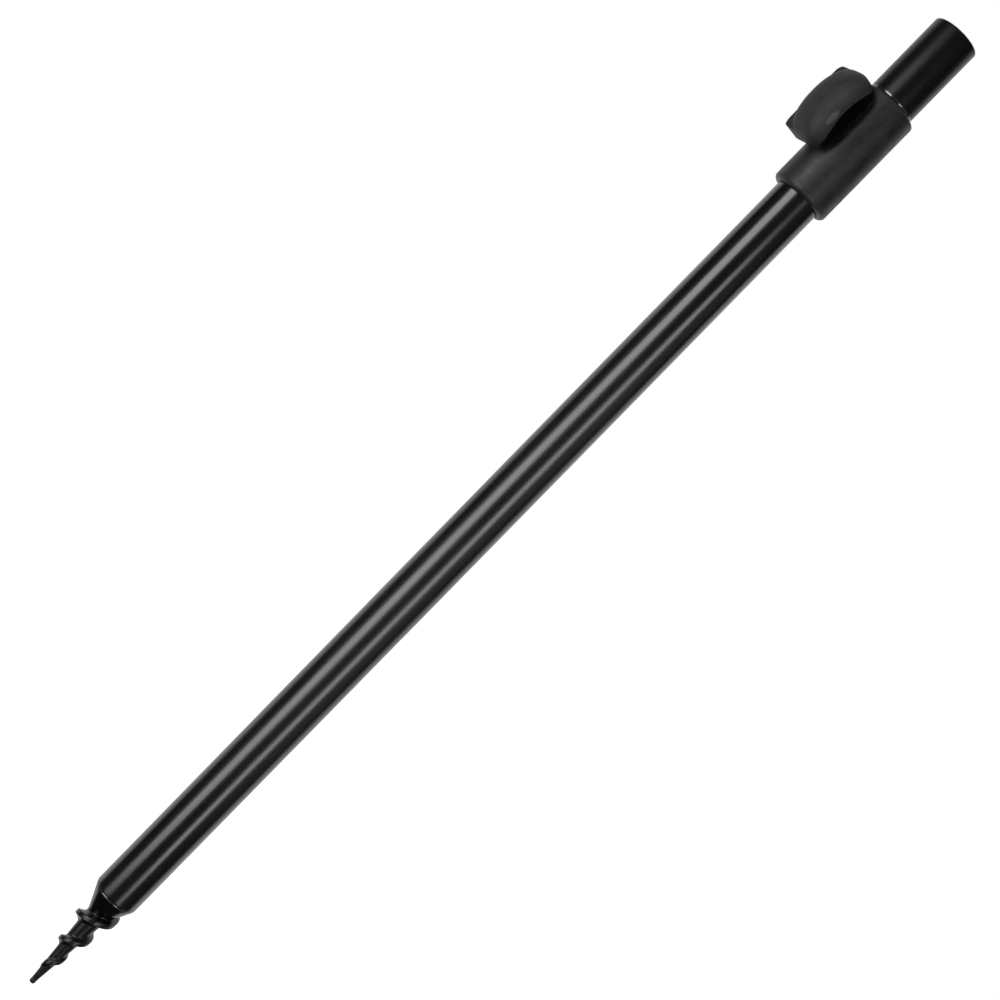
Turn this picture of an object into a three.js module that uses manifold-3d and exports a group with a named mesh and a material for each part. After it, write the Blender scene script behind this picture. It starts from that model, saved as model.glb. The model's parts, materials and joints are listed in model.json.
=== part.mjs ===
// A telescopic bank stick: an auger point is screwed into the bank, an outer tube stands on it,
// and an inner tube with a threaded head slides out of it and is held by a thumb screw in a collar.
// Millimetres, +Z along the stick, the tip of the point at the origin, the thumb screw on the -X side.

import * as THREE from "three";
import { mergeVertices } from "three/addons/utils/BufferGeometryUtils.js";
import Module from "manifold-3d";

const wasm = await Module();
wasm.setup();

// Tubes
const outerTubeRadius = 9.5;
const outerTubeWall = 1;
const outerTubeLength = 408.6;
const rollDepth = 0.5;
const rollHeight = 0.7;
const tubeGap = 0.5;
const innerTubeWall = 1;
const footRoom = 10;

// Clearances between pieces
const fitGap = 0.12;
const slideGap = 0.15;
const seatGap = 0.3;

// Auger point
const tipRadius = 1.05;
const shaftSlope = 0.0935;
const coneFootRadius = 4.2;
const coneStep = 0.35;
const coneSlope = 0.5;
const coneRim = 0.4;
const pointLength = 46.6;
const shankLength = 22;
const shankChamfer = 1.2;

// Helical flight of the point, right-handed
const flightPitch = 11.9;
const flightStart = 6.2;
const flightDrop = 3.8;
const flightRadius = 8.1;
const flightTaperDrop = 7.8;
const flightSlope = 0.187;
const flightFadeIn = 4.5;
const flightFadeOut = 3;
const flightRoot = 2.5;
const flightRootGrowth = 0.31;
const flightSink = 0.6;
const flightStartDegrees = 68;

// Collar
const collarWall = 2.9;
const collarLength = 48.3;
const collarFootRadius = 1.5;
const collarTopRadius = 1.3;
const collarLip = 3;
const collarLipGap = 0.5;
const guideRingLength = 5.4;
const bossRadius = 6.2;
const bossStand = 4;
const bossEdge = 0.4;

// Thumb screw, on an axis that stands off the stick at a right angle
const screwDrop = 17.5;
const screwRadius = 3;
const screwCover = 3.2;
const screwHeadAcross = 10;
const screwHeadHeight = 4;
const screwEndChamfer = 0.5;
const insertRadius = 4.1;
const insertFlange = 5;
const insertFlangeThickness = 0.9;
const padRadius = 3.4;
const padThickness = 2.1;
const padTravel = 1.5;

// Knob: a flange with two square and two round corners, under a domed oval cap that laps over its sides
const knobGap = 1.3;
const flangeHalfHeight = 15.2;
const flangeHalfWidth = 10.3;
const flangeThickness = 7.9;
const flangeEdge = 0.3;
const flangeFlare = 1.8;
const capHalfHeight = 15.8;
const capNearWidth = 10.9;
const capFarWidth = 9.8;
const capLap = 5.9;
const capShoulder = 1.3;
const capRise = 5.2;
const saddleRadius = 26;
const saddleDrop = 2;
const knobRecessGap = 0.5;

// Guide plug on the foot of the inner tube
const guideLength = 14;
const guideClearance = 0.12;
const spigotLength = 12;
const spigotChamfer = 0.8;
const guideBore = 2.5;

// Head and its threaded insert
const headWall = 2;
const headLength = 35.8;
const headEdge = 0.9;
const headSocketDepth = 18;
const socketBore = 4.15;
const socketLength = 15;
const socketRadius = 6.2;
const socketFlange = 7.2;
const socketFlangeThickness = 1;

// Facets and cutting allowance
const roundSides = 64;
const smallSides = 40;
const arcSteps = 4;
const flightStepsPerTurn = 24;
const coreSteps = 9;
const coreSides = 48;
const knobSides = 64;
const crownSteps = 7;
const overrun = 2;

// Radii that follow from the tubes
const outerBore = outerTubeRadius - outerTubeWall;
const innerTubeRadius = outerBore - tubeGap;
const innerBore = innerTubeRadius - innerTubeWall;
const coneRadius = outerTubeRadius - coneStep;
const collarRadius = outerTubeRadius + collarWall;
const headRadius = innerTubeRadius + headWall;

// Places along the stick
const tubeFoot = pointLength + seatGap;
const tubeTop = tubeFoot + outerTubeLength;
const guideRingFoot = tubeTop + seatGap;
const lipFoot = guideRingFoot + guideRingLength + seatGap;
const collarTop = lipFoot + collarLip;
const collarFoot = collarTop - collarLength;
const screwLevel = collarTop - screwDrop;
const headFoot = collarTop + seatGap;
const headTop = headFoot + headLength;
const innerTubeTop = headFoot + headSocketDepth - seatGap;
const guideFoot = pointLength + shankLength + footRoom;
const guideTop = guideFoot + guideLength;
const innerTubeFoot = guideTop + seatGap;
const flightEnd = pointLength - flightDrop;

// Places along the screw's axis, as distances from the stick's axis
const bossHeight = collarRadius + bossStand;
const padFace = innerTubeRadius + slideGap + fitGap;
const padEnd = padFace + padThickness;
const padRoom = padEnd + padTravel + seatGap;
const insertFoot = padRoom + seatGap;
const screwTip = padEnd + seatGap;
const knobFoot = collarRadius + knobGap;
const flangeTop = knobFoot + flangeThickness;
const capFoot = flangeTop - capLap;
const capSpring = flangeTop - capShoulder;
const crownTop = flangeTop + capRise;
const recessTop = bossHeight + knobGap;
const screwReach = crownTop - screwCover;
const screwHeadFoot = screwReach - screwHeadHeight;

// A closed geometry with only its welded positions, without faces that have shrunk to a line.
function welded(geometry) {
  const bare = new THREE.BufferGeometry();
  const source = geometry.index ? geometry.toNonIndexed() : geometry;
  bare.setAttribute("position", source.getAttribute("position").clone());
  const merged = mergeVertices(bare, 1e-5);
  const kept = [];
  const index = merged.index.array;
  for (let i = 0; i < index.length; i += 3) {
    const [a, b, c] = [index[i], index[i + 1], index[i + 2]];
    if (a !== b && b !== c && c !== a) kept.push(a, b, c);
  }
  merged.setIndex(kept);
  return merged;
}

function solid(geometry) {
  const merged = welded(geometry);
  return new wasm.Manifold(
    new wasm.Mesh({
      numProp: 3,
      vertProperties: new Float32Array(merged.getAttribute("position").array),
      triVerts: new Uint32Array(merged.index.array),
    }),
  );
}

function geometryOf(manifold) {
  const mesh = manifold.getMesh();
  const geometry = new THREE.BufferGeometry();
  geometry.setAttribute("position", new THREE.BufferAttribute(new Float32Array(mesh.vertProperties), 3));
  geometry.setIndex(new THREE.BufferAttribute(new Uint32Array(mesh.triVerts), 1));
  const faceted = geometry.toNonIndexed();
  faceted.computeVertexNormals();
  return faceted;
}

// Turns a profile of [radius, height] points round +Z. The points run up the outside and down the inside.
function turned(profile, sides = roundSides) {
  const points = profile.map(([radius, height]) => new THREE.Vector2(radius, height));
  return solid(new THREE.LatheGeometry(points, sides).rotateX(Math.PI / 2));
}

function rod(radius, from, to, sides = smallSides) {
  return turned([[0, from], [radius, from], [radius, to], [0, to]], sides);
}

function ring(inner, outer, from, to) {
  return turned([[inner, from], [outer, from], [outer, to], [inner, to], [inner, from]]);
}

// Points of a quarter round from one angle to the other, in degrees, about a centre.
function arc(centreRadius, centreHeight, radius, fromDegrees, toDegrees) {
  const points = [];
  for (let step = 0; step <= arcSteps; step++) {
    const angle = THREE.MathUtils.degToRad(fromDegrees + ((toDegrees - fromDegrees) * step) / arcSteps);
    points.push([centreRadius + radius * Math.cos(angle), centreHeight + radius * Math.sin(angle)]);
  }
  return points;
}

// Turns a solid that was made along +Z into the screw's direction, -X, at the screw's level.
function alongScrew(manifold) {
  return manifold.rotate([0, -90, 0]).translate([0, 0, screwLevel]);
}

// Joins rings of points, each a list of THREE.Vector3, into a closed skin with flat ends.
function skin(rings) {
  const count = rings[0].length;
  const positions = rings.flat().flatMap((point) => [point.x, point.y, point.z]);
  const index = [];
  for (let row = 0; row + 1 < rings.length; row++) {
    for (let i = 0; i < count; i++) {
      const next = (i + 1) % count;
      const [a, b] = [row * count + i, row * count + next];
      const [c, d] = [a + count, b + count];
      index.push(a, b, d, a, d, c);
    }
  }
  const lastRow = (rings.length - 1) * count;
  for (let i = 1; i + 1 < count; i++) {
    index.push(0, i + 1, i);
    index.push(lastRow, lastRow + i, lastRow + i + 1);
  }
  const geometry = new THREE.BufferGeometry();
  geometry.setAttribute("position", new THREE.Float32BufferAttribute(positions, 3));
  geometry.setIndex(index);
  return geometry;
}

// The radius of the point's core: a slender shaft that swells towards the top, then a cone.
function coreRadius(height) {
  const shaft = tipRadius + height * shaftSlope;
  const cone = coneRadius - (pointLength - coneRim - height) * coneSlope;
  return Math.max(shaft, cone);
}

// The radius of the flight's crest, which grows out of the core below and runs into the cone above.
function crestRadius(height) {
  const full = flightRadius - Math.max(0, pointLength - flightTaperDrop - height) * flightSlope;
  const fadeIn = THREE.MathUtils.smoothstep(height, flightStart, flightStart + flightFadeIn);
  const fadeOut = 1 - THREE.MathUtils.smoothstep(height, flightEnd - flightFadeOut, flightEnd);
  const core = coreRadius(height);
  return core + (full - core) * Math.min(fadeIn, fadeOut);
}

function augerCore() {
  const coneFoot = pointLength - coneRim - (coneRadius - coneFootRadius) / coneSlope;
  const profile = [[0, 0]];
  profile.push([tipRadius / 2, tipRadius / 8], [tipRadius * 0.87, tipRadius / 2]);
  for (let step = 0; step <= coreSteps; step++) {
    const height = tipRadius + ((coneFoot - tipRadius) * step) / coreSteps;
    profile.push([coreRadius(height), height]);
  }
  for (let step = 1; step <= 4; step++) {
    const height = coneFoot + (flightFadeOut * step) / 4;
    profile.push([coreRadius(height), height]);
  }
  profile.push(...arc(coneRadius - coneRim, pointLength - coneRim, coneRim, 0, 90));
  const shank = outerBore - fitGap;
  const neck = shank - rollDepth;
  const shankTop = pointLength + shankLength;
  profile.push([neck, pointLength], [neck, tubeFoot], [shank, tubeFoot + rollHeight]);
  profile.push([shank, shankTop - shankChamfer], [shank - shankChamfer, shankTop], [0, shankTop]);
  return turned(profile, coreSides);
}

// One blade section at a height: a thick root sunk in the core, which thins to a narrow crest.
function flightSection(height) {
  const profileShares = [[0, 1], [0.34, 0.67], [0.73, 0.46], [0.94, 0.34], [1, 0.18]];
  const crest = crestRadius(height);
  const core = coreRadius(height);
  const half = (flightRoot + flightRootGrowth * crest) / 2;
  const turn = ((height - flightStart) / flightPitch) * 2 * Math.PI;
  const angle = THREE.MathUtils.degToRad(flightStartDegrees) + turn;
  const flank = profileShares.map(([wayShare, widthShare]) =>
    [core + (crest - core) * wayShare, half * widthShare]);
  const upper = [[core - flightSink, half], ...flank];
  const lower = upper.map(([radius, rise]) => [radius, -rise]).reverse();
  return [...upper, ...lower].map(([radius, rise]) =>
    new THREE.Vector3(radius * Math.cos(angle), radius * Math.sin(angle), height + rise));
}

function augerPoint() {
  const sections = [];
  const steps = Math.ceil(((flightEnd - flightStart) / flightPitch) * flightStepsPerTurn);
  for (let step = 0; step <= steps; step++) {
    sections.push(flightSection(flightStart + ((flightEnd - flightStart) * step) / steps));
  }
  return augerCore().add(solid(skin(sections)));
}

// The outer tube's foot is rolled in over the neck of the point.
function outerTube() {
  const tube = turned([
    [outerBore - rollDepth, tubeFoot],
    [outerTubeRadius - rollDepth, tubeFoot],
    [outerTubeRadius, tubeFoot + rollHeight],
    [outerTubeRadius, tubeTop],
    [outerBore, tubeTop],
    [outerBore, tubeFoot + rollHeight],
    [outerBore - rollDepth, tubeFoot],
  ]);
  return tube.subtract(alongScrew(rod(padRadius + slideGap, 0, outerTubeRadius + overrun)));
}

function collar() {
  const bore = outerTubeRadius + fitGap;
  const lipBore = innerTubeRadius + collarLipGap;
  const foot = arc(collarRadius - collarFootRadius, collarFoot + collarFootRadius, collarFootRadius, -90, 0);
  const top = arc(collarRadius - collarTopRadius, collarTop - collarTopRadius, collarTopRadius, 0, 90);
  const sleeve = turned([
    [bore, collarFoot],
    ...foot,
    ...top,
    [lipBore, collarTop],
    [lipBore, lipFoot],
    [bore, lipFoot],
    [bore, collarFoot],
  ]);
  const boss = turned([
    [0, outerTubeRadius + overrun],
    [bossRadius, outerTubeRadius + overrun],
    [bossRadius, bossHeight - bossEdge],
    [bossRadius - bossEdge, bossHeight],
    [0, bossHeight],
  ]);
  const padWay = rod(padRadius + slideGap, 0, padRoom);
  const insertWay = rod(insertRadius + fitGap, padRoom, bossHeight + overrun);
  const flangeSeat = bossHeight - insertFlangeThickness - fitGap;
  const flangeWay = rod(insertFlange + fitGap, flangeSeat, bossHeight + overrun);
  return sleeve.add(alongScrew(boss)).subtract(alongScrew(padWay.add(insertWay).add(flangeWay)));
}

function screwInsert() {
  const body = rod(insertRadius, insertFoot, bossHeight);
  const flange = rod(insertFlange, bossHeight - insertFlangeThickness, bossHeight);
  return body.add(flange).subtract(rod(screwRadius + slideGap, insertFoot - overrun, bossHeight + overrun));
}

function pressurePad() {
  const stem = rod(padRadius, innerTubeRadius / 2, padEnd);
  const saddle = rod(padFace, -outerTubeRadius, outerTubeRadius, roundSides).rotate([0, 90, 0]);
  return stem.subtract(saddle);
}

function hexPrism(across, from, to) {
  return rod(across / Math.sqrt(3), from, to, 6);
}

function clampScrew() {
  const shank = turned([
    [0, screwTip],
    [screwRadius - screwEndChamfer, screwTip],
    [screwRadius, screwTip + screwEndChamfer],
    [screwRadius, screwHeadFoot + screwHeadHeight / 2],
    [0, screwHeadFoot + screwHeadHeight / 2],
  ], smallSides);
  return shank.add(hexPrism(screwHeadAcross, screwHeadFoot, screwReach));
}

// One ring of the knob across the screw. Its near side, -Y, and its far side differ in width and corners.
function knobRing(halfHeight, nearWidth, farWidth, nearSquareness, farSquareness, distance) {
  const points = [];
  for (let i = 0; i < knobSides; i++) {
    const angle = ((i + 0.5) * 2 * Math.PI) / knobSides;
    const [c, s] = [Math.cos(angle), Math.sin(angle)];
    const near = s < 0;
    const power = 2 / (near ? nearSquareness : farSquareness);
    const along = halfHeight * Math.sign(c) * Math.pow(Math.abs(c), power);
    const across = (near ? nearWidth : farWidth) * Math.sign(s) * Math.pow(Math.abs(s), power);
    points.push(new THREE.Vector3(along, across, distance));
  }
  return points;
}

// The flange's foot is drawn in a little all round, and its outer rim has a small edge.
function knobFlange() {
  const [nearSquareness, farSquareness] = [4.2, 12];
  const footShare = 0.965;
  const ringAt = (share, distance) => knobRing(
    flangeHalfHeight * share, flangeHalfWidth * share, flangeHalfWidth * share,
    nearSquareness, farSquareness, distance);
  const rimShare = 1 - flangeEdge / flangeHalfWidth;
  return solid(skin([
    ringAt(footShare, knobFoot),
    ringAt(1, knobFoot + flangeFlare),
    ringAt(1, flangeTop - flangeEdge),
    ringAt(rimShare, flangeTop),
  ]));
}

// The cap swells from its foot to a shoulder and closes in a low crown. A saddle cut lifts its sides.
function knobCap() {
  const [nearSquareness, farSquareness] = [4, 2.3];
  const [footShare, flatShare] = [0.965, 0.06];
  const ringAt = (share, distance) => knobRing(
    capHalfHeight * share, capNearWidth * share, capFarWidth * share,
    nearSquareness, farSquareness, distance);
  const rings = [ringAt(footShare, capFoot), ringAt(1, (capFoot + capSpring) / 2)];
  for (let step = 0; step < crownSteps; step++) {
    const angle = (step * Math.PI) / (2 * crownSteps);
    rings.push(ringAt(Math.cos(angle), capSpring + (crownTop - capSpring) * Math.sin(angle)));
  }
  rings.push(ringAt(flatShare, crownTop));
  const saddleLevel = flangeTop - saddleDrop - saddleRadius;
  const reach = capNearWidth + overrun;
  const saddle = rod(saddleRadius, -reach, reach, roundSides * 2).rotate([90, 0, 0]);
  return solid(skin(rings)).subtract(saddle.translate([0, 0, saddleLevel]));
}

function knob() {
  const recess = rod(bossRadius + knobRecessGap, knobFoot - overrun, recessTop, roundSides);
  const screwWay = rod(screwRadius + fitGap, recessTop - overrun, screwHeadFoot);
  const headWay = hexPrism(screwHeadAcross + fitGap * 2, screwHeadFoot - fitGap, screwReach + fitGap);
  return knobFlange().add(knobCap()).subtract(recess).subtract(screwWay).subtract(headWay);
}

function guideRing() {
  return ring(innerTubeRadius + slideGap, outerTubeRadius, guideRingFoot, guideRingFoot + guideRingLength);
}

function innerTube() {
  return ring(innerBore, innerTubeRadius, innerTubeFoot, innerTubeTop);
}

function guidePlug() {
  const guideRadius = outerBore - guideClearance;
  const spigot = innerBore - fitGap;
  const spigotTop = guideTop + spigotLength;
  return turned([
    [guideBore, guideFoot],
    [guideRadius - spigotChamfer, guideFoot],
    [guideRadius, guideFoot + spigotChamfer],
    [guideRadius, guideTop],
    [spigot, guideTop],
    [spigot, spigotTop - spigotChamfer],
    [spigot - spigotChamfer, spigotTop],
    [guideBore, spigotTop],
    [guideBore, guideFoot],
  ]);
}

function head() {
  const bore = innerTubeRadius + fitGap;
  const foot = arc(headRadius - headEdge, headFoot + headEdge, headEdge, -90, 0);
  const top = arc(headRadius - headEdge, headTop - headEdge, headEdge, 0, 90);
  const blank = turned([[0, headFoot], ...foot, ...top, [0, headTop]]);
  const tubeWay = rod(bore, headFoot - overrun, headFoot + headSocketDepth, roundSides);
  const insertFloor = headTop - socketLength - seatGap;
  const insertWay = rod(socketRadius + fitGap, insertFloor, headTop + overrun, roundSides);
  const flangeSeat = headTop - socketFlangeThickness - fitGap;
  const flangeWay = rod(socketFlange + fitGap, flangeSeat, headTop + overrun, roundSides);
  return blank.subtract(tubeWay).subtract(insertWay).subtract(flangeWay);
}

function socketInsert() {
  const body = ring(socketBore, socketRadius, headTop - socketLength, headTop);
  return body.add(ring(socketBore, socketFlange, headTop - socketFlangeThickness, headTop));
}

// Finishes
const glossBlack = new THREE.MeshStandardMaterial({ color: 0x101112, roughness: 0.22, metalness: 0.6 });
const satinBlack = new THREE.MeshStandardMaterial({ color: 0x161718, roughness: 0.38, metalness: 0.5 });
const mouldedBlack = new THREE.MeshStandardMaterial({ color: 0x262728, roughness: 0.62, metalness: 0 });
const brass = new THREE.MeshStandardMaterial({ color: 0xb08d4a, roughness: 0.35, metalness: 1 });
const steel = new THREE.MeshStandardMaterial({ color: 0xa7aaad, roughness: 0.3, metalness: 1 });
const nylon = new THREE.MeshStandardMaterial({ color: 0xe4e2d8, roughness: 0.55, metalness: 0 });

function piece(name, manifold, material) {
  const mesh = new THREE.Mesh(geometryOf(manifold), material);
  mesh.name = name;
  return mesh;
}

const bankStick = new THREE.Group();
bankStick.name = "bank_stick";
bankStick.add(
  piece("auger_point", augerPoint(), glossBlack),
  piece("outer_tube", outerTube(), glossBlack),
  piece("collar", collar(), mouldedBlack),
  piece("guide_ring", guideRing(), nylon),
  piece("inner_tube", innerTube(), satinBlack),
  piece("guide_plug", guidePlug(), nylon),
  piece("head", head(), satinBlack),
  piece("head_socket", socketInsert(), brass),
);

// What lies on the screw's axis is made along +Z and turned into -X together.
const thumbScrew = new THREE.Group();
thumbScrew.name = "thumb_screw";
thumbScrew.position.set(0, 0, screwLevel);
thumbScrew.rotation.y = -Math.PI / 2;
thumbScrew.add(
  piece("screw_insert", screwInsert(), brass),
  piece("pressure_pad", pressurePad(), nylon),
  piece("clamp_screw", clampScrew(), steel),
  piece("thumb_knob", knob(), mouldedBlack),
);
bankStick.add(thumbScrew);

export default bankStick;
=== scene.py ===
# %% [markdown]
# # A telescopic bank stick
# A bank stick is a tube with a screw point that is turned into the ground beside the water. A
# thinner tube slides out of it, and a thumb screw in a collar holds it at the height that is wanted.
# Almost all of it is black, so its shape is read from its gloss: the drawn tubes mirror the lamps as
# stripes, the mouldings stay matt, and the cast point glints along its flight. This lesson rebuilds
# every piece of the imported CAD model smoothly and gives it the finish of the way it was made.

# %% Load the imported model
import json
import math
import bpy
from mathutils import Matrix, Vector


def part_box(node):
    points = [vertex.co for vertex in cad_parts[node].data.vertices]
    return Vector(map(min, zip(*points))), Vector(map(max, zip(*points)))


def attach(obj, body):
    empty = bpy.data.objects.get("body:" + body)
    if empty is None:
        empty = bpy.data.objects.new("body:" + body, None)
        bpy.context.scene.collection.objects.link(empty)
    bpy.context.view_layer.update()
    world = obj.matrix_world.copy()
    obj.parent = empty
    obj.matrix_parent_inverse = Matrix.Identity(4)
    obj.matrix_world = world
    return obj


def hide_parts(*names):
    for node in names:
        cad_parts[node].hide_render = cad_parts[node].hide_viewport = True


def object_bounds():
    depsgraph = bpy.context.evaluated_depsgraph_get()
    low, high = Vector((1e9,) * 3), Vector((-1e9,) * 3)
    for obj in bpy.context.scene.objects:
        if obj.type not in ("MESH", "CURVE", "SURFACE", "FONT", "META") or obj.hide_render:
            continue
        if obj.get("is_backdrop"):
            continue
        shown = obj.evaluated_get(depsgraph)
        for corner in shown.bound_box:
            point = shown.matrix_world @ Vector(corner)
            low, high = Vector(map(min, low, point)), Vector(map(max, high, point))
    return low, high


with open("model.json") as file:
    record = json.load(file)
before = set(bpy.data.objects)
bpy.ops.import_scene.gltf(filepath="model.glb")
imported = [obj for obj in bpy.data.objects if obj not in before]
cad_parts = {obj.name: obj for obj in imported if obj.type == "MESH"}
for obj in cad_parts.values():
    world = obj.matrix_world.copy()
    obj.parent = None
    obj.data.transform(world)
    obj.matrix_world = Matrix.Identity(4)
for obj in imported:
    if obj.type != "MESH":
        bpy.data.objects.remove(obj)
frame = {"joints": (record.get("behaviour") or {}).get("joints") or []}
cad_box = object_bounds()
print("CAD box", [round(side, 4) for corner in cad_box for side in corner])

# %% [markdown]
# ## Camera
# The photograph shows the stick leaning across the frame. It could be leant over to match, but the
# CAD frame may not be turned, so the stick stands upright and the camera is rolled instead. A long
# lens from three quarters of a metre keeps the tube's sides almost parallel. The camera stands 35
# degrees from square, so that the thumb screw points half towards it, and looks down by two degrees.

# %% Place the camera
MM = 0.001
VIEW_TURN = math.radians(35)
VIEW_TILT = math.radians(2.0)
VIEW_DISTANCE = 0.7365
VIEW_HEIGHT = 0.2573
VIEW_SHIFT = -0.0008
LENS = 70.1
STICK_IN_FRAME = (0.69941, 0.71472)

toward_camera = Vector((-math.sin(VIEW_TURN), -math.cos(VIEW_TURN), 0))
rightward = Vector((math.cos(VIEW_TURN), -math.sin(VIEW_TURN), 0))
forward = (-toward_camera * math.cos(VIEW_TILT) - Vector((0, 0, math.sin(VIEW_TILT)))).normalized()
upward = rightward.cross(forward).normalized()
frame_right = upward * STICK_IN_FRAME[0] + rightward * STICK_IN_FRAME[1]
frame_up = upward * STICK_IN_FRAME[1] - rightward * STICK_IN_FRAME[0]

aim = Vector((0, 0, VIEW_HEIGHT)) + rightward * VIEW_SHIFT
eye = aim - forward * VIEW_DISTANCE
camera_data = bpy.data.cameras.new("camera")
camera_data.lens = LENS
camera_data.sensor_width = 36
camera_data.clip_start = 0.01
camera = bpy.data.objects.new("camera", camera_data)
bpy.context.scene.collection.objects.link(camera)
turn = Matrix((frame_right, frame_up, -forward)).transposed()
camera.matrix_world = Matrix.Translation(eye) @ turn.to_4x4()
bpy.context.scene.camera = camera
print("camera at", [round(c, 3) for c in eye])

# %% [markdown]
# ## Shader maths
# A finish is a network of nodes. It could be wired up node by node, but its formula is then hard to
# read. Here a small class wraps a socket, so that `0.3 + noise * 0.2` adds its own Math nodes, also
# with the number first.

# %% Wrap a socket so that it can stand in an expression
class Wire:
    """A socket of a node tree that can be used in an expression."""

    def __init__(self, sheet, socket):
        self.sheet = sheet
        self.socket = socket

    def _math(self, operation, first, second, clamp=False):
        values = {0: first, 1: second}
        return self.sheet.node("ShaderNodeMath", {"operation": operation, "use_clamp": clamp}, values)

    def __add__(self, other): return self._math("ADD", self, other)
    def __radd__(self, other): return self._math("ADD", other, self)
    def __sub__(self, other): return self._math("SUBTRACT", self, other)
    def __rsub__(self, other): return self._math("SUBTRACT", other, self)
    def __mul__(self, other): return self._math("MULTIPLY", self, other)
    def __rmul__(self, other): return self._math("MULTIPLY", other, self)

    def clipped(self):
        """The same value kept between 0 and 1."""
        return self._math("ADD", self, 0.0, clamp=True)


print("wires can be added, subtracted, multiplied and clipped")

# %% [markdown]
# A second class is the sheet that the network is drawn on. One method makes any node from its
# kind, its settings and the values or wires of its sockets, and two short ones serve every finish.

# %% Draw nodes on a sheet
class Sheet:
    """A material's node tree, with one method that makes any node."""

    def __init__(self, name):
        self.material = bpy.data.materials.new(name)
        self.material.use_nodes = True
        self.tree = self.material.node_tree
        self.tree.nodes.clear()
        self.output = self.tree.nodes.new("ShaderNodeOutputMaterial")

    def node(self, kind, settings=None, values=None, out=0):
        made = self.tree.nodes.new(kind)
        for key, setting in (settings or {}).items():
            setattr(made, key, setting)
        for socket, value in (values or {}).items():
            if isinstance(value, Wire):
                self.tree.links.new(value.socket, made.inputs[socket])
            else:
                made.inputs[socket].default_value = value
        return Wire(self, made.outputs[out])

    def stretched(self, where, factors):
        return self.node("ShaderNodeVectorMath", {"operation": "MULTIPLY"}, {0: where, 1: factors})

    def finish(self, values):
        shader = self.node("ShaderNodeBsdfPrincipled", {}, values)
        self.tree.links.new(shader.socket, self.output.inputs["Surface"])
        return self.material


print("a sheet ends in a surface made by its finish method")

# %% [markdown]
# ## Studio
# A black, glossy tube shows its lamps more than itself. Spot lamps would make thin, hard lines on
# it, so two tall soft boxes left and right of the camera make its two broad stripes. A dim wall
# further right fills the side that turns away, and a weak lamp overhead lights the flight.

# %% Hang the soft boxes
def area_lamp(name, width, height, radiance):
    data = bpy.data.lights.new(name, "AREA")
    data.shape = "RECTANGLE"
    data.size = width
    data.size_y = height
    data.energy = radiance * math.pi * width * height
    lamp = bpy.data.objects.new(name, data)
    bpy.context.scene.collection.objects.link(lamp)
    return lamp


def soft_box(name, angle, distance, centre_height, **sizes):
    """A lamp whose angle is turned from the camera's direction, positive to the right."""
    angle = math.radians(angle)
    away = toward_camera * math.cos(angle) + rightward * math.sin(angle)
    lamp = area_lamp(name, **sizes)
    lamp.location = away * distance + Vector((0, 0, centre_height))
    lamp.rotation_euler = away.to_track_quat("Z", "Y").to_euler()
    return lamp


overhead = area_lamp("overhead_box", width=1.3, height=1.3, radiance=0.62)
overhead.location = toward_camera * 0.1 + Vector((0, 0, 1.6))
boxes = [
    soft_box("soft_box_left", -38.5, 1.2, 0.175, width=0.66, height=1.25, radiance=4.4),
    soft_box("soft_box_right", 34.5, 1.2, 0.02, width=0.36, height=1.0, radiance=4.3),
    soft_box("dim_wall_right", 68, 1.5, 0.08, width=1.0, height=0.95, radiance=0.2),
]
print("soft boxes:", {box.name: round(box.data.energy, 2) for box in boxes}, "W")

# %% [markdown]
# A wide white sheet behind the stick brightens its outline, where the surface turns away and
# mirrors what is behind. Real paper would need so much light that it would spill on the stick, so
# the sheet is white only to the camera and to reflections, and plain paper to all other light.

# %% Stretch the white sheet
def white_sheet_material(name, diffuse, glow):
    """White to the camera and in reflections, and a plain pale surface to every other ray."""
    sheet = Sheet(name)
    path = sheet.tree.nodes.new("ShaderNodeLightPath")
    seen = Wire(sheet, path.outputs["Is Camera Ray"]) + Wire(sheet, path.outputs["Is Glossy Ray"])
    seen = (seen + Wire(sheet, path.outputs["Is Transmission Ray"])).clipped()
    plain = sheet.node("ShaderNodeBsdfDiffuse", {}, {"Color": (diffuse, diffuse, diffuse, 1)})
    lit = sheet.node("ShaderNodeEmission", {}, {"Color": (1, 1, 1, 1), "Strength": glow})
    both = sheet.node("ShaderNodeMixShader", {}, {0: seen, 1: plain, 2: lit})
    sheet.tree.links.new(both.socket, sheet.output.inputs["Surface"])
    return sheet.material


def flat_stage(name, size, location, away, material):
    bpy.ops.object.select_all(action="DESELECT")
    bpy.ops.mesh.primitive_plane_add(size=size, location=location)
    stage = bpy.context.object
    stage.name = name
    stage.rotation_euler = away.to_track_quat("Z", "Y").to_euler()
    stage.data.materials.append(material)
    stage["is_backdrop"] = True
    return stage


SHEET_SIDE = 9.0
SHEET_BEHIND = 1.6
SHEET_CENTRE = 0.9
sheet_place = -toward_camera * SHEET_BEHIND + Vector((0, 0, SHEET_CENTRE))
sheet_finish = white_sheet_material("white_sheet", diffuse=0.8, glow=1.0)
white_sheet = flat_stage("white_sheet", SHEET_SIDE, sheet_place, toward_camera, sheet_finish)
print("the white sheet stands", round(white_sheet.location.length, 2), "m from the tip")

# %% [markdown]
# The floor is a plain pale surface that takes the stick's shadow. To the camera it also glows a
# little, so that it runs into the white background without a horizon, as on a sweep of paper. It is
# left out of reflections, because in the photograph nothing bright shows under the cone.

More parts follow.
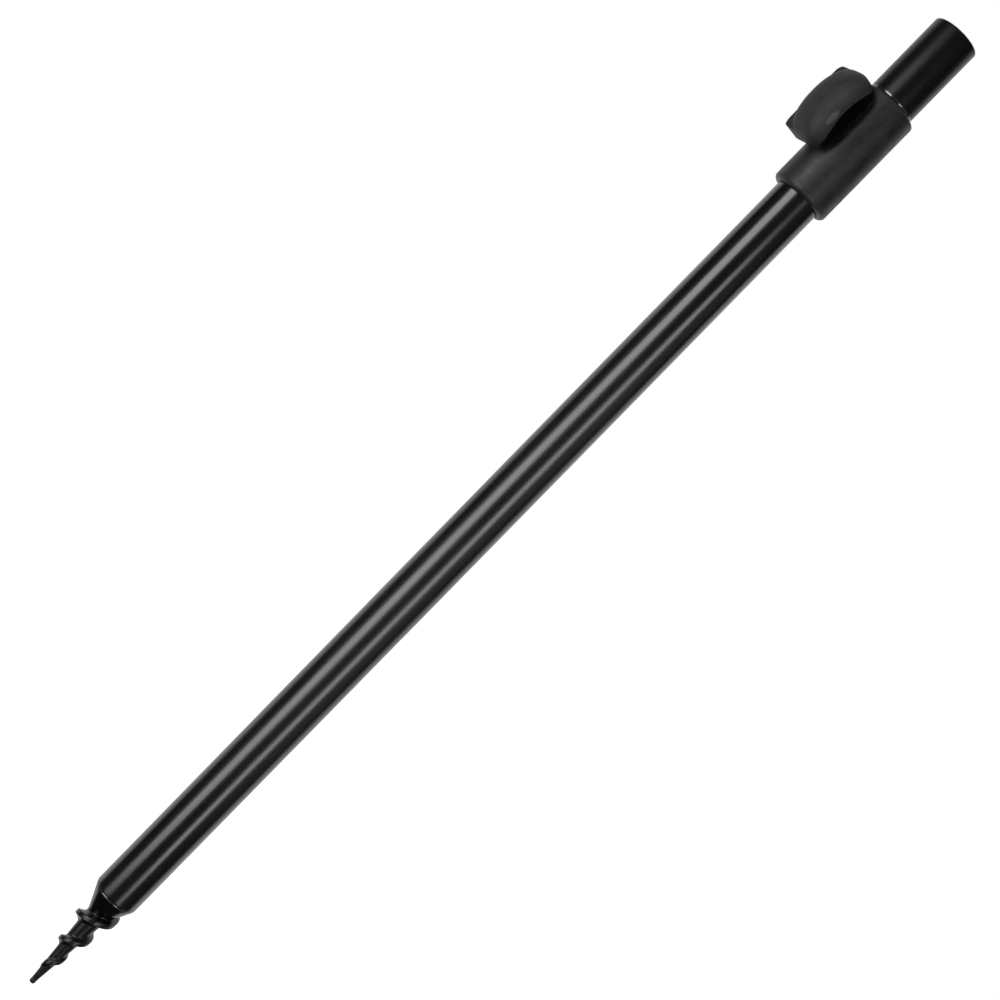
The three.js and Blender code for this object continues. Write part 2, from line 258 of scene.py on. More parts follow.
# %% Lay the floor
FLOOR_GLOW = 0.93
FLOOR_SIDE = 5.0
FLOOR_LEVEL = -0.0012
floor_finish = Sheet("pale_floor")
floor_path = floor_finish.tree.nodes.new("ShaderNodeLightPath")
floor_plain = floor_finish.node("ShaderNodeBsdfDiffuse", {}, {"Color": (0.9, 0.9, 0.9, 1)})
floor_glow = floor_finish.node("ShaderNodeEmission", {}, {"Color": (1, 1, 1, 1), "Strength": FLOOR_GLOW})
floor_both = floor_finish.node("ShaderNodeAddShader", {}, {0: floor_plain, 1: floor_glow})
floor_seen = Wire(floor_finish, floor_path.outputs["Is Camera Ray"])
floor_mix = floor_finish.node("ShaderNodeMixShader", {}, {0: floor_seen, 1: floor_plain, 2: floor_both})
floor_finish.tree.links.new(floor_mix.socket, floor_finish.output.inputs["Surface"])
floor = flat_stage("floor", FLOOR_SIDE, (0, 0, FLOOR_LEVEL), Vector((0, 0, 1)), floor_finish.material)
floor.visible_glossy = False
floor.visible_shadow = False
print("the floor lies", -FLOOR_LEVEL / MM, "mm under the tip")

# %% [markdown]
# The room beyond is dim, which keeps the blacks black, and white only where the camera looks
# straight at it.

# %% Light the room
ROOM_LIGHT = 0.04
world = bpy.data.worlds.new("room")
bpy.context.scene.world = world
world.use_nodes = True
room = world.node_tree
room.nodes.clear()
room_output, room_path, room_mix, room_dim, room_white = [
    room.nodes.new("ShaderNode" + kind)
    for kind in ("OutputWorld", "LightPath", "MixShader", "Background", "Background")
]
for background, strength in ((room_dim, ROOM_LIGHT), (room_white, 1.0)):
    background.inputs["Color"].default_value = (1, 1, 1, 1)
    background.inputs["Strength"].default_value = strength
room.links.new(room_path.outputs["Is Camera Ray"], room_mix.inputs[0])
room.links.new(room_dim.outputs[0], room_mix.inputs[1])
room.links.new(room_white.outputs[0], room_mix.inputs[2])
room.links.new(room_mix.outputs[0], room_output.inputs["Surface"])
bpy.context.scene.view_settings.view_transform = "Standard"
print("room light", ROOM_LIGHT, "and view transform", bpy.context.scene.view_settings.view_transform)

# %% [markdown]
# ## Grain
# The finishes are all black, so they differ in gloss and in grain: faint lines along a drawn tube,
# rings round a turned head, pebbles on a moulding. A picture could be wrapped round each piece, but
# noise that reads the place on the piece has no seam, and in millimetres its grain has a real size.

# %% Helpers for places and grain
def place_in_mm(sheet):
    place = sheet.node("ShaderNodeTexCoord", out="Object")
    return sheet.stretched(place, (1000, 1000, 1000))


def grain(sheet, where, wavelengths, detail=2.0):
    """Noise between 0 and 1 whose grain has the given size, in mm, along x, y and z."""
    scaled = sheet.stretched(where, tuple(1 / length for length in wavelengths))
    values = {"Vector": scaled, "Scale": 1.0, "Detail": detail, "Roughness": 0.5}
    return sheet.node("ShaderNodeTexNoise", {}, values)


def between(sheet, value, low, high):
    """0 below the low value, 1 above the high one, and a soft step between them."""
    settings = {"interpolation_type": "SMOOTHSTEP"}
    return sheet.node("ShaderNodeMapRange", settings, {"Value": value, "From Min": low, "From Max": high})


def band(sheet, value, ends, fades):
    """1 between two values, with a soft step of its own at either end."""
    low, high = [(end - fade, end + fade) for end, fade in zip(ends, fades)]
    return between(sheet, value, *low) * (1 - between(sheet, value, *high))


def along(sheet, where, axis):
    """One coordinate of a place, X, Y or Z."""
    return sheet.node("ShaderNodeSeparateXYZ", {}, {"Vector": where}, out=axis)


print("grain is measured in millimetres")

# %% Helpers for colour and relief
def mixed(sheet, share, first, second):
    """A colour between two others. The second one shows where the share is 1."""
    first, second = [tint if isinstance(tint, Wire) else (*tint, 1) for tint in (first, second)]
    return sheet.node("ShaderNodeMix", {"data_type": "RGBA"}, {0: share, 6: first, 7: second}, out=2)


def bumped(sheet, relief, depth):
    """The surface's normal, tilted by a relief that is as deep as the given millimetres."""
    values = {"Height": relief, "Distance": depth * MM, "Strength": 1.0}
    return sheet.node("ShaderNodeBump", {}, values)


print("relief is measured in millimetres too")

# %% [markdown]
# ## Modelling helpers
# Operators act on whatever is selected, so each step begins by picking one piece, and a finished
# piece ends with its object at the origin and its place in its mesh. These few helpers do that.

# %% Pick, settle and close up a piece
def deselect():
    if bpy.context.object and bpy.context.object.mode != "OBJECT":
        bpy.ops.object.mode_set(mode="OBJECT")
    bpy.ops.object.select_all(action="DESELECT")


def picked(piece):
    """Makes the piece the only one that operators act on."""
    deselect()
    piece.select_set(True)
    bpy.context.view_layer.objects.active = piece
    return piece


def settled(piece):
    """Leaves the piece's object at the origin, with its place in its mesh."""
    picked(piece)
    bpy.ops.object.transform_apply(location=True, rotation=True, scale=True)
    return piece


def closed_up(piece):
    """Merges doubled points, turns the faces outwards and leaves edit mode."""
    bpy.ops.mesh.select_all(action="SELECT")
    bpy.ops.mesh.remove_doubles(threshold=0.002 * MM)
    bpy.ops.mesh.normals_make_consistent(inside=False)
    bpy.ops.object.mode_set(mode="OBJECT")
    return settled(piece)


print("each helper acts on one piece at a time")

# %% [markdown]
# Most of a bank stick is turned or drawn, so its pieces are round. Stacked cylinders would leave
# hard steps where the real pieces have rounds and chamfers. So a ring of points is extruded and
# widened from one point of an outline to the next, the way a lathe tool follows a drawing.

# %% A lathe made of extruded rings
def turned(name, outline, sides=96, closed=False):
    """Spins an outline of (radius, height) points, in millimetres. An open one has flat ends."""
    deselect()
    radius, height = outline[0]
    bpy.ops.mesh.primitive_circle_add(vertices=sides, radius=radius * MM, location=(0, 0, height * MM))
    piece = bpy.context.object
    piece.name = name
    bpy.ops.object.mode_set(mode="EDIT")
    bpy.ops.mesh.select_all(action="SELECT")
    if not closed:
        bpy.ops.mesh.edge_face_add()
        bpy.ops.mesh.select_all(action="SELECT")
    for new_radius, new_height in outline[1:] + (outline[:1] if closed else []):
        rise = (0, 0, (new_height - height) * MM)
        bpy.ops.mesh.extrude_region_move(TRANSFORM_OT_translate={"value": rise})
        grow = new_radius / radius
        bpy.ops.transform.resize(value=(grow, grow, 1), center_override=(0, 0, new_height * MM))
        radius, height = new_radius, new_height
    return closed_up(piece)


def quarter(centre_radius, centre_height, radius, first, last, steps=6):
    """Points of a quarter round, from one angle to the other, in degrees."""
    points = []
    for step in range(steps + 1):
        angle = math.radians(first + (last - first) * step / steps)
        points.append((centre_radius + radius * math.cos(angle), centre_height + radius * math.sin(angle)))
    return points


print("a quarter round has", len(quarter(0, 0, 1, 0, 90)), "points")

# %% [markdown]
# Modifiers finish the pieces. They could stay live, but applied at once they export as they look.

# %% Modifiers
def modified(piece, kind, **settings):
    picked(piece)
    bpy.ops.object.modifier_add(type=kind)
    modifier = piece.modifiers[-1]
    for key, setting in settings.items():
        setattr(modifier, key, setting)
    bpy.ops.object.modifier_apply(modifier=modifier.name)
    return piece


def combined(piece, other, operation):
    """Joins the other solid to the piece, or cuts it away."""
    modified(piece, "BOOLEAN", operation=operation, solver="EXACT", object=other)
    bpy.data.objects.remove(other)
    return piece


def joined(piece, other):
    """Puts the other mesh in the same object, still as a shell of its own."""
    picked(piece)
    other.select_set(True)
    bpy.ops.object.join()
    return piece


def rounded(piece, width, segments=3, limit=30):
    """Breaks every edge sharper than the limit, as a deburring tool does."""
    return modified(piece, "BEVEL", width=width * MM, segments=segments, limit_method="ANGLE",
                    angle_limit=math.radians(limit))


print("modifiers are applied one by one")

# %% [markdown]
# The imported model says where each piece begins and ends, and these helpers read it in millimetres.
# The thumb screw lies across the stick. Its pieces are made upright at the origin, because that is
# easier to draw, and are then laid down. Pieces that rest on each other are drawn 0.3 mm apart, as
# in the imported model, so that a moving one never cuts into its seat.

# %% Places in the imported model
SEAT_GAP = 0.3
SCREW_LEVEL = [joint for joint in frame["joints"] if joint["name"] == "knob_turn"][0]["pos_m"][2] / MM


def foot_of(node):
    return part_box(node)[0].z / MM


def top_of(node):
    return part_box(node)[1].z / MM


def reach_of(node):
    """How far from the stick's axis a node on the thumb screw begins and ends, in millimetres."""
    low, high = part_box(node)
    return -high.x / MM, -low.x / MM


def along_screw(piece):
    """Turns a piece that was made upright at the origin so that it points along the thumb screw."""
    piece.rotation_euler = (0, -math.pi / 2, 0)
    piece.location = (0, 0, SCREW_LEVEL * MM)
    return settled(piece)


print("the thumb screw's axis is", round(SCREW_LEVEL, 1), "mm up")

# %% Dress a finished piece
def dressed(piece, finish, body, node, angle=35):
    """Gives a finished piece its shading, its finish and its place in the frame."""
    picked(piece)
    bpy.ops.object.shade_smooth_by_angle(angle=math.radians(angle))
    piece.data.materials.clear()
    piece.data.materials.append(finish)
    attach(piece, body)
    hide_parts(node)
    low = Vector([min(corner[axis] for corner in piece.bound_box) for axis in range(3)])
    high = Vector([max(corner[axis] for corner in piece.bound_box) for axis in range(3)])
    size = [round(side / MM, 1) for side in high - low]
    print(piece.name, "measures", size, "mm and has", len(piece.data.polygons), "faces")
    return piece


print("a dressed piece rides on its body and replaces its packed node")

# %% [markdown]
# ## Outer tube
# The outer tube is drawn aluminium with a black anodised skin. A plain black gloss would look like
# painted plastic, so the index of refraction is higher, because the hard oxide mirrors more, and
# the die has left faint lines along the tube. Hands have dulled it where it is gripped. The inner
# tube has the same skin in a duller black.

# %% Anodised finish
GRIP_FADES = (45, 35)


def drawn_tube_finish(name, colour, roughness, gloss, grip=None):
    """Anodised tube. Between the two heights of the grip, in millimetres, hands have dulled it."""
    sheet = Sheet(name)
    where = place_in_mm(sheet)
    lines = grain(sheet, where, (0.25, 0.25, 40))
    clouds = grain(sheet, where, (9, 9, 30))
    specks = between(sheet, grain(sheet, where, (0.8, 0.8, 1.6), 4), 0.66, 0.74)
    rough = roughness + (lines - 0.5) * 0.06 + (clouds - 0.5) * 0.07 + specks * 0.08
    paler = tuple(shade * 1.7 + 0.004 for shade in colour)
    tint = (clouds - 0.3).clipped() * 0.8 + specks * 0.5
    if grip:
        dulled = band(sheet, along(sheet, where, "Z"), grip, GRIP_FADES)
        rough = rough + (dulled - 1) * 0.06
        tint = tint * (0.25 + dulled * 0.75)
    return sheet.finish({
        "Base Color": mixed(sheet, tint.clipped(), colour, paler),
        "Roughness": rough.clipped(),
        "IOR": gloss,
        "Normal": bumped(sheet, lines * 0.7 + specks, 0.0025),
    })


TUBE_GRIP = (105, 345)
anodised_tube = drawn_tube_finish("anodised_tube", (0.003, 0.003, 0.0033), 0.28, 1.66, TUBE_GRIP)
anodised_mast = drawn_tube_finish("anodised_mast", (0.011, 0.011, 0.0115), 0.34, 1.6)
print("finishes:", anodised_tube.name, "and", anodised_mast.name)

# %% [markdown]
# The tube's foot is rolled in over the neck of the point, so the two can't come apart. The roll is
# half a millimetre and could be left out, but it catches the light just above the point, so it gets
# a proper round. The hole that the pressure pad passes through is cut by a boolean.

# %% Turn the outer tube and bore it for the pad
TUBE_RADIUS = 9.5
TUBE_BORE = 8.5
ROLL = 0.5
ROLL_ROUND = 0.35
ROLL_HEIGHT = 0.7
PAD_WAY = 3.55
PAD_WAY_INSIDE = 4
PAD_WAY_OUTSIDE = 11.5
tube_foot = foot_of("outer_tube")
tube_top = top_of("outer_tube")
outer_tube = turned("outer_tube_drawn", [
    (TUBE_BORE - ROLL, tube_foot),
    *quarter(TUBE_RADIUS - ROLL_ROUND, tube_foot + ROLL_ROUND, ROLL_ROUND, -90, 0),
    (TUBE_RADIUS, tube_top - ROLL),
    (TUBE_RADIUS, tube_top),
    (TUBE_BORE, tube_top),
    (TUBE_BORE, tube_foot + ROLL_HEIGHT),
], sides=128, closed=True)
pad_hole = turned("pad_hole", [(PAD_WAY, PAD_WAY_INSIDE), (PAD_WAY, PAD_WAY_OUTSIDE)], 64)
combined(outer_tube, along_screw(pad_hole), "DIFFERENCE")
dressed(outer_tube, anodised_tube, "stand", "outer_tube")

# %% [markdown]
# ## Auger point
# The point is a casting under thick gloss paint, so it has soft dimples instead of lines, and
# screwing it into the ground scours the paint towards the tip. The cone above is smoother. Its rim,
# just below the tube, is machined and polished bare. The bare band could be a piece of its own, but
# it is the same casting, so two heights in the finish turn paint into metal there.

# %% Painted casting finish
POINT_TOP = tube_foot - SEAT_GAP
RIM = (POINT_TOP - 0.75, POINT_TOP)
RIM_FADES = (0.05, 0.05)
SCOURED_BELOW = 4
SOUND_ABOVE = 30
ROUGH_BELOW = POINT_TOP - 10
SMOOTH_ABOVE = POINT_TOP - 8
SOUND_PAINT = (0.0006, 0.0006, 0.0006)
SCOURED_PAINT = (0.010, 0.0098, 0.0095)
BARE_METAL = (0.18, 0.18, 0.185)


def painted_casting_finish(name, bare):
    """Gloss paint over a casting, polished bare on a rim between two heights, in millimetres."""
    sheet = Sheet(name)
    where = place_in_mm(sheet)
    dimples = grain(sheet, where, (2.6, 2.6, 2.6), 2)
    scours = grain(sheet, where, (2.5, 2.5, 0.3), 2)
    height = along(sheet, where, "Z")
    scoured = 1 - between(sheet, height, SCOURED_BELOW, SOUND_ABOVE)
    wear = (scoured * between(sheet, scours, 0.5, 0.75)).clipped()
    rim = band(sheet, height, bare, RIM_FADES)
    cone = between(sheet, height, ROUGH_BELOW, SMOOTH_ABOVE)
    rough = 0.34 + (dimples - 0.5) * 0.1 + wear * 0.1 - cone * 0.18
    worn = mixed(sheet, wear, SOUND_PAINT, SCOURED_PAINT)
    return sheet.finish({
        "Base Color": mixed(sheet, rim, worn, BARE_METAL),
        "Metallic": rim * 0.9,
        "Roughness": (rough * (1 - rim) + rim * 0.16).clipped(),
        "IOR": 1.55,
        "Normal": bumped(sheet, dimples + scours * wear * 0.4, 0.008),
    })


painted_casting = painted_casting_finish("painted_casting", RIM)
print("the bare rim is between", [round(height, 2) for height in RIM], "mm up")

# %% [markdown]
# The casting is a slender shaft, a cone that meets the tube, and a flight, the ribbon that winds up
# the shaft and widens as it climbs. Both shaft and flight taper, so their radii are functions of
# the height, and the cone simply takes over where it is wider than the shaft.

# %% Sizes of the point
TIP_RADIUS = 1.05
SHAFT_SLOPE = 0.0935
CONE_RADIUS = 9.15
CONE_SLOPE = 0.5
CONE_RIM = 0.4
CONE_FOOT_RADIUS = 4.2
FLIGHT_PITCH = 11.9
FLIGHT_START = 6.2
FLIGHT_END = POINT_TOP - 3.8
FLIGHT_RADIUS = 8.2
FLIGHT_TAPER_FROM = POINT_TOP - 7.8
FLIGHT_SLOPE = 0.187
FLIGHT_START_TURN = math.radians(84)
FLIGHT_FADE_IN = 4.5
FLIGHT_FADE_OUT = 3
STEPS_PER_TURN = 40
cone_foot = POINT_TOP - CONE_RIM - (CONE_RADIUS - CONE_FOOT_RADIUS) / CONE_SLOPE


def core_radius(height):
    shaft = TIP_RADIUS + SHAFT_SLOPE * height
    cone = CONE_RADIUS - (POINT_TOP - CONE_RIM - height) * CONE_SLOPE
    return max(shaft, cone)


def eased(value, low, high):
    share = min(1, max(0, (value - low) / (high - low)))
    return share * share * (3 - 2 * share)


def crest_radius(height):
    """The flight grows out of the shaft below and runs into the cone above."""
    full = FLIGHT_RADIUS - max(0, FLIGHT_TAPER_FROM - height) * FLIGHT_SLOPE
    fade_in = eased(height, FLIGHT_START, FLIGHT_START + FLIGHT_FADE_IN)
    fade_out = 1 - eased(height, FLIGHT_END - FLIGHT_FADE_OUT, FLIGHT_END)
    core = core_radius(height)
    return core + (full - core) * min(fade_in, fade_out)


print("the flight winds", round((FLIGHT_END - FLIGHT_START) / FLIGHT_PITCH, 2), "turns")

# %% [markdown]
# The flight's section is thick where it grows out of the shaft and thins to a narrow crest, and
# its lower flank droops a little, as it does on the casting. It is given as widths at shares of the
# crest's radius, so one list serves for the whole taper.

# %% Section of the flight
FLIGHT_DROOP = 1.3
FLIGHT_ROOT = 2.5
FLIGHT_ROOT_GROWTH = 0.31
FLIGHT_FLANK = [(0.42, 1.2), (0.6, 1.0), (0.67, 0.8), (0.75, 0.66), (0.84, 0.54), (0.93, 0.46), (1.0, 0.36)]


def flank_width(share):
    """How wide the section is at a share of the crest's radius."""
    for (near, wide), (far, narrow) in zip(FLIGHT_FLANK, FLIGHT_FLANK[1:]):
        if share <= far:
            return wide + (narrow - wide) * (share - near) / (far - near)
    return FLIGHT_FLANK[-1][1]


def flight_scale(height):
    """Keeps the root, where the flank meets the shaft, as thick as it is on the casting."""
    root_half = (FLIGHT_ROOT + FLIGHT_ROOT_GROWTH * crest_radius(height)) / 2
    return root_half / flank_width(core_radius(height) / crest_radius(height))


print("the flight's root is", round(FLIGHT_ROOT + FLIGHT_ROOT_GROWTH * FLIGHT_RADIUS, 1), "mm thick at most")

# %% [markdown]
# A helix could come from the Screw modifier, but that gives the same section all the way up. Here
# the section is drawn once, by one point that is extruded round its outline, and is then extruded
# step by step while it turns, climbs and grows.

# %% Draw a flat outline
def looped(name, points, height):
    """A flat face drawn round an outline of (x, y) points, in millimetres."""
    deselect()
    bpy.ops.mesh.primitive_plane_add(size=MM)
    piece = bpy.context.object
    piece.name = name
    bpy.ops.object.mode_set(mode="EDIT")
    bpy.ops.mesh.select_all(action="SELECT")
    bpy.ops.mesh.merge(type="CENTER")
    x, y = points[0]
    bpy.ops.transform.translate(value=(x * MM, y * MM, height * MM))
    for next_x, next_y in points[1:]:
        step = ((next_x - x) * MM, (next_y - y) * MM, 0)
        bpy.ops.mesh.extrude_region_move(TRANSFORM_OT_translate={"value": step})
        x, y = next_x, next_y
    bpy.ops.mesh.select_all(action="SELECT")
    bpy.ops.mesh.edge_face_add()
    return piece


print("an outline is drawn point by point")

# %% Wind the flight
def wound_flight():
    crest = crest_radius(FLIGHT_START)
    scale = flight_scale(FLIGHT_START)
    upper = [(share * crest, width * scale) for share, width in FLIGHT_FLANK]
    lower = [(radius, -rise * FLIGHT_DROOP) for radius, rise in reversed(upper)]
    flight = looped("flight", upper + lower, 0)
    origin = (0, 0, 0)
    bpy.ops.mesh.select_all(action="SELECT")
    bpy.ops.transform.rotate(value=math.pi / 2, orient_axis="X", center_override=origin)
    bpy.ops.transform.translate(value=(0, 0, FLIGHT_START * MM))
    bpy.ops.transform.rotate(value=-FLIGHT_START_TURN, orient_axis="Z", center_override=origin)
    steps = math.ceil((FLIGHT_END - FLIGHT_START) / FLIGHT_PITCH * STEPS_PER_TURN)
    rise = (FLIGHT_END - FLIGHT_START) / steps
    turn = -2 * math.pi * rise / FLIGHT_PITCH
    height = FLIGHT_START
    for _ in range(steps):
        wider = crest_radius(height + rise) / crest_radius(height)
        thicker = flight_scale(height + rise) / flight_scale(height)
        height += rise
        bpy.ops.mesh.extrude_region_move(TRANSFORM_OT_translate={"value": (0, 0, rise * MM)})
        bpy.ops.transform.rotate(value=turn, orient_axis="Z", center_override=origin)
        bpy.ops.transform.resize(value=(wider, wider, thicker), center_override=(0, 0, height * MM))
    return closed_up(flight)


flight = wound_flight()
print("the flight has", len(flight.data.polygons), "faces")

# %% [markdown]
# A boolean would leave knife-sharp roots between shaft and flight, which no casting has. A remesh
# melts the two together instead, and a light smoothing leaves the soft edges and rounded roots of
# thick paint.

# %% Turn the shaft and the cone, and melt the flight into them
SHAFT_STEPS = 24
SHAFT_FROM = 2
VOXEL = 0.16
TIP_OUTLINE = [(0.8, -0.3), (1.08, -0.12), (1.2, 0.3), (1.24, 1)]
CAST_BELOW = 0.8
shaft_outline = list(TIP_OUTLINE)
for step in range(SHAFT_STEPS + 1):
    height = SHAFT_FROM + (cone_foot - SHAFT_FROM) * step / SHAFT_STEPS
    shaft_outline.append((core_radius(height), height))
cone_top = POINT_TOP - CAST_BELOW
shaft_outline.append((core_radius(cone_top), cone_top))
point = turned("auger_point_cast", shaft_outline, sides=96)
joined(point, flight)
modified(point, "REMESH", mode="VOXEL", voxel_size=VOXEL * MM)
modified(point, "SMOOTH", factor=0.5, iterations=7)
print("the casting has", len(point.data.polygons), "faces")

# %% [markdown]
# The rim of the cone and the shank above it are machined after casting. The remesh would blunt
# them, so they are turned as a second, crisp shell of the same piece. The rim is the bright line at
# the tube's foot, the tube is rolled into the neck above it, and the shank is hidden in the tube.

# %% Turn the rim and the shank, and dress the point
SHANK_RADIUS = 8.38
NECK_RADIUS = 7.88
SHANK_CHAMFER = 1.2
RIM_LAP = 0.8
RIM_PROUD = 0.02
shank_top = top_of("auger_point")
rim_foot = cone_top - RIM_LAP
shank = turned("shank", [
    (core_radius(rim_foot) + RIM_PROUD, rim_foot),
    *quarter(CONE_RADIUS - CONE_RIM, POINT_TOP - CONE_RIM, CONE_RIM, 0, 90),
    (NECK_RADIUS, POINT_TOP),
    (NECK_RADIUS, tube_foot),
    (SHANK_RADIUS, tube_foot + ROLL_HEIGHT),
    (SHANK_RADIUS, shank_top - SHANK_CHAMFER),
    (SHANK_RADIUS - SHANK_CHAMFER, shank_top),
])
joined(point, shank)
dressed(point, painted_casting, "stand", "auger_point", 60)

# %% [markdown]
# ## Collar
# The collar and the knob's cap are moulded in black plastic. A flat matt black would look like
# card, so the finish has what the mould leaves: small pebbles from spark erosion, dabs where the
# texture is worn, and faint clouds where the plastic cooled at different rates. One spot on the cap
# gets a painted highlight, paler and smoother, which the finish finds by its distance from a centre.

# %% Moulded finish
# the centre and the reach, in mm, of the painted highlight on the knob's cap
CAP_HIGHLIGHT_SPOT = ((-21.6, -10.6, 442.4), (1.6, 2, 4.2))
PAINTED_HIGHLIGHT_GREY = (0.055, 0.055, 0.055)


def moulded_finish(name, colour, roughness, pebble, depth, cloud_depth, gloss=1.5, painted_highlight=None):
    """Moulded plastic. An optional spot, given by its centre and its reach in millimetres, gets a painted
    highlight.
    """
    sheet = Sheet(name)
    where = place_in_mm(sheet)
    pebbles = grain(sheet, where, (pebble, pebble, pebble), 3)
    clouds = grain(sheet, where, (4, 4, 6), 5)
    dabs = grain(sheet, where, (1.3, 1.3, 1.8), 2)
    paler = tuple(shade * 2.6 + 0.004 for shade in colour)
    tint = clouds * 1.8 - 0.6 + (dabs - 0.5) * 0.8 + (pebbles - 0.5) * 3
    base = mixed(sheet, tint.clipped(), colour, paler)
    rough = roughness + (clouds - 0.5) * cloud_depth + (dabs - 0.5) * 0.26 + (pebbles - 0.5) * 0.1
    # painted highlight: a paler, smoother spot of base colour on the cap
    if painted_highlight:
        centre, reach = painted_highlight
        offset = sheet.node("ShaderNodeVectorMath", {"operation": "SUBTRACT"}, {0: where, 1: centre})
        offset = sheet.stretched(offset, tuple(1 / side for side in reach))
        length = sheet.node("ShaderNodeVectorMath", {"operation": "LENGTH"}, {0: offset}, out=1)
        highlight_mask = 1 - between(sheet, length, 0.5, 1)
        base = mixed(sheet, highlight_mask, base, PAINTED_HIGHLIGHT_GREY)
        rough = rough - highlight_mask * 0.15
    return sheet.finish({
        "Base Color": base,
        "Roughness": rough.clipped(),
        "IOR": gloss,
        "Normal": bumped(sheet, pebbles + clouds * 0.8 + dabs * 1.5, depth),
    })


moulded_collar = moulded_finish("moulded_collar", (0.007, 0.007, 0.007), 0.5, 0.35, 0.014, 0.34)
moulded_cap = moulded_finish("moulded_cap", (0.010, 0.010, 0.010), 0.66, 0.4, 0.012, 0.2, 1.53, CAP_HIGHLIGHT_SPOT)
print("finishes:", moulded_collar.name, "and", moulded_cap.name)

# %% [markdown]
# The collar is a sleeve pushed over the tube's end, with a lip at the top that keeps the guide ring
# in. It could start as a cylinder that is hollowed out, but a turned outline gives the bore, the
# lip and the rounded ends at once.

# %% Turn the collar
COLLAR_RADIUS = 12.4
COLLAR_BORE = 9.62
LIP_BORE = 8.5
LIP = 3
LIP_CHAMFER = 0.3
FOOT_ROUND = 1.9
TOP_ROUND = 1.0
collar_foot = foot_of("collar")
collar_top = top_of("collar")
collar = turned("collar_moulding", [
    (COLLAR_BORE, collar_foot),
    *quarter(COLLAR_RADIUS - FOOT_ROUND, collar_foot + FOOT_ROUND, FOOT_ROUND, -90, 0),
    *quarter(COLLAR_RADIUS - TOP_ROUND, collar_top - TOP_ROUND, TOP_ROUND, 0, 90),
    (LIP_BORE + LIP_CHAMFER, collar_top),
    (LIP_BORE, collar_top - LIP_CHAMFER),
    (LIP_BORE, collar_top - LIP),
    (COLLAR_BORE, collar_top - LIP),
], sides=128, closed=True)
print("the collar is", round(collar_top - collar_foot, 1), "mm long")

# %% [markdown]
# A boss on the collar's side carries the thumb screw. It is joined on and bored by booleans, because
# a round boss on a round sleeve meets it in a curve that would be hard to model by hand. One bore
# has all three steps: the pad's way, the insert's body and the insert's flange.

# %% Join the boss to the collar and bore it
BOSS_RADIUS = 6.2
BOSS_ROOT = 11
BOSS_TOP = 16.4
BOSS_CHAMFER = 0.4
BORE_FROM = 0.2
BORE_TO = 18
INSERT_WAY = 4.22
INSERT_WAY_FROM = 12.12
INSERT_FLANGE_WAY = 5.12
INSERT_FLANGE_FROM = 15.4
STEP = 0.01
boss = turned("boss", [
    (BOSS_RADIUS, BOSS_ROOT), (BOSS_RADIUS, BOSS_TOP - BOSS_CHAMFER), (BOSS_RADIUS - BOSS_CHAMFER, BOSS_TOP),
])
combined(collar, along_screw(boss), "UNION")
bore = turned("bore", [
    (PAD_WAY, BORE_FROM), (PAD_WAY, INSERT_WAY_FROM),
    (INSERT_WAY, INSERT_WAY_FROM + STEP), (INSERT_WAY, INSERT_FLANGE_FROM),
    (INSERT_FLANGE_WAY, INSERT_FLANGE_FROM + STEP), (INSERT_FLANGE_WAY, BORE_TO),
], 64)
combined(collar, along_screw(bore), "DIFFERENCE")
dressed(collar, moulded_collar, "stand", "collar", 30)

# %% [markdown]
# ## Guides
# Two guides of natural nylon keep the tubes from rattling. Nylon lets a little light in, so that
# its shadows are soft and warm. A paler colour alone would look like paint, so the finish scatters
# some light under its surface.

# %% Nylon finish
def nylon_finish(name):
    sheet = Sheet(name)
    where = place_in_mm(sheet)
    clouds = grain(sheet, where, (4, 4, 4), 3)
    pebbles = grain(sheet, where, (0.3, 0.3, 0.3))
    return sheet.finish({
        "Base Color": mixed(sheet, clouds, (0.72, 0.7, 0.62), (0.82, 0.81, 0.75)),
        "Roughness": 0.42 + (clouds - 0.5) * 0.1,
        "Subsurface Weight": 0.15,
        "Subsurface Radius": (0.002, 0.002, 0.0015),
        "Normal": bumped(sheet, pebbles, 0.01),
    })


natural_nylon = nylon_finish("natural_nylon")
print("finish:", natural_nylon.name)

# %% [markdown]
# The ring sits under the collar's lip, and the inner tube runs through it. A torus or a hollowed
# cylinder would do, but it is cut from bar, so it is turned here, and a bevel breaks its edges.

# %% Turn the guide ring
GUIDE_RING_BORE = 8.15
ring_foot = foot_of("guide_ring")
ring_top = top_of("guide_ring")
guide_ring = turned("guide_ring_turned", [
    (GUIDE_RING_BORE, ring_foot), (TUBE_RADIUS, ring_foot),
    (TUBE_RADIUS, ring_top), (GUIDE_RING_BORE, ring_top),
], closed=True)
dressed(rounded(guide_ring, 0.3), natural_nylon, "stand", "guide_ring")

# %% [markdown]
# The plug sits in the foot of the inner tube and runs in the outer one. It could be two cylinders,
# but it is one piece with a step, so its outline has the step, and the bevel leads it in.

# %% Turn the guide plug
PLUG_RADIUS = 8.38
PLUG_BORE = 2.5
SPIGOT_RADIUS = 6.88
SPIGOT = 12
plug_foot = foot_of("guide_plug")
plug_top = top_of("guide_plug")
guide_plug = turned("guide_plug_turned", [
    (PLUG_BORE, plug_foot), (PLUG_RADIUS, plug_foot), (PLUG_RADIUS, plug_top - SPIGOT),
    (SPIGOT_RADIUS, plug_top - SPIGOT), (SPIGOT_RADIUS, plug_top), (PLUG_BORE, plug_top),
], closed=True)
dressed(rounded(guide_plug, 0.5), natural_nylon, "plug", "guide_plug")

# %% [markdown]
# ## Inner tube
# The inner tube slides out of the outer one. With the stick closed only the head shows, and the
# tube could be cut short, but the joint draws it out, so it has its whole length.

# %% Turn the inner tube
MAST_RADIUS = 8
MAST_BORE = 7
mast_foot = foot_of("inner_tube")
mast_top = top_of("inner_tube")
inner_tube = turned("inner_tube_drawn", [
    (MAST_BORE, mast_foot), (MAST_RADIUS, mast_foot), (MAST_RADIUS, mast_top), (MAST_BORE, mast_top),
], sides=128, closed=True)
dressed(rounded(inner_tube, 0.2), anodised_mast, "mast", "inner_tube")

